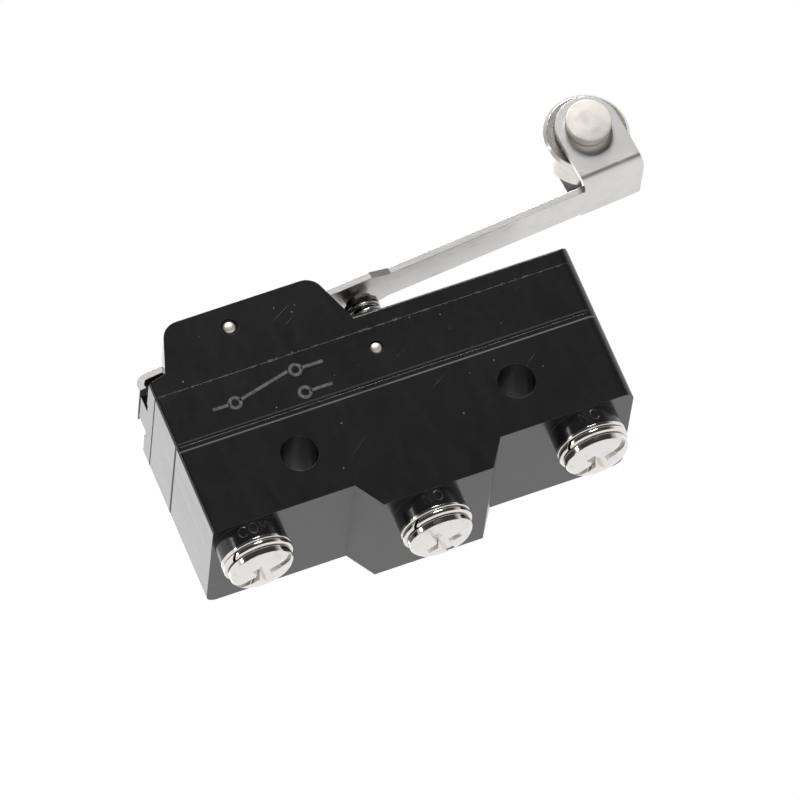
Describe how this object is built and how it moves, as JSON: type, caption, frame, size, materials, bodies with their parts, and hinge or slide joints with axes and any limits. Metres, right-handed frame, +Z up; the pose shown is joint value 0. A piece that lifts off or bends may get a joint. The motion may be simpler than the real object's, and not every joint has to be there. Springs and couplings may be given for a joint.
{
  "type": "lever micro switch",
  "caption": "Snap-action switch in a black moulded case, worked by a hinged sheet-metal lever with a roller at its end, with screw terminals underneath",
  "frame": {"origin": "midway between the axes of the two mounting holes, at mid-thickness of the body", "axes": "+X along the body towards the roller, +Y from the front face to the back face and along the mounting holes, +Z up from the terminals to the lever"},
  "size_m": [0.0632, 0.0175, 0.0473],
  "materials": {
    "case_plastic": "glossy black moulded thermoset, fine flow marks",
    "lever_steel": "satin rolled stainless sheet",
    "pin_steel": "bright drawn steel",
    "roller_steel": "polished, turned",
    "plunger_steel": "dark polished",
    "spring_steel": "bright wire",
    "blade_bronze": "rolled copper alloy",
    "contact_silver": "silver",
    "anchor_brass": "plated brass",
    "terminal_brass": "stamped brass",
    "screw_nickel": "bright nickel plate",
    "washer_nickel": "nickel plate"
  },
  "bodies": {
    "case": {"case_base": "case_plastic", "cover": "case_plastic", "lever_housing": "case_plastic", "hinge_pin": "pin_steel", "housing_pin": "pin_steel", "spring_anchor": "anchor_brass", "com_terminal": "terminal_brass", "no_terminal": "terminal_brass", "nc_terminal": "terminal_brass", "no_contact": "contact_silver", "nc_contact": "contact_silver", "com_screw": "screw_nickel", "no_screw": "screw_nickel", "nc_screw": "screw_nickel", "com_lock_washer": "washer_nickel", "no_lock_washer": "washer_nickel", "nc_lock_washer": "washer_nickel", "com_washer": "washer_nickel", "no_washer": "washer_nickel", "nc_washer": "washer_nickel"},
    "lever": {"lever": "lever_steel", "roller_pin": "pin_steel"},
    "roller": {"roller": "roller_steel"},
    "plunger": {"plunger": "plunger_steel", "return_spring": "spring_steel"},
    "blade": {"snap_blade": "blade_bronze", "moving_contact": "contact_silver"}
  },
  "joints": [
    {"name": "lever_hinge", "type": "hinge", "parent": "case", "child": "lever", "pos_m": [-0.0142, 0, 0.0169], "axis": [0, 1, 0], "range_deg": [0, 9], "stiffness_Nm_per_rad": 0.13, "springref_deg": -13.18},
    {"name": "roller_spin", "type": "hinge", "parent": "lever", "child": "roller", "pos_m": [0.03328, 0, 0.02866], "axis": [0, 1, 0], "continuous": true},
    {"name": "plunger_slide", "type": "slide", "parent": "case", "child": "plunger", "axis": [0, 0, -1], "range_m": [0, 0.00261], "deforming": ["return_spring"]},
    {"name": "blade_swing", "type": "hinge", "parent": "case", "child": "blade", "pos_m": [-0.019, 0, 0.0066], "axis": [0, 1, 0], "range_deg": [0, 0.91]}
  ],
  "couplings": [
    {"joint": "plunger_slide", "follows": "lever_hinge", "m_per_rad": 0.016552},
    {"joint": "blade_swing", "follows": "lever_hinge", "ratio": 0.1}
  ]
}
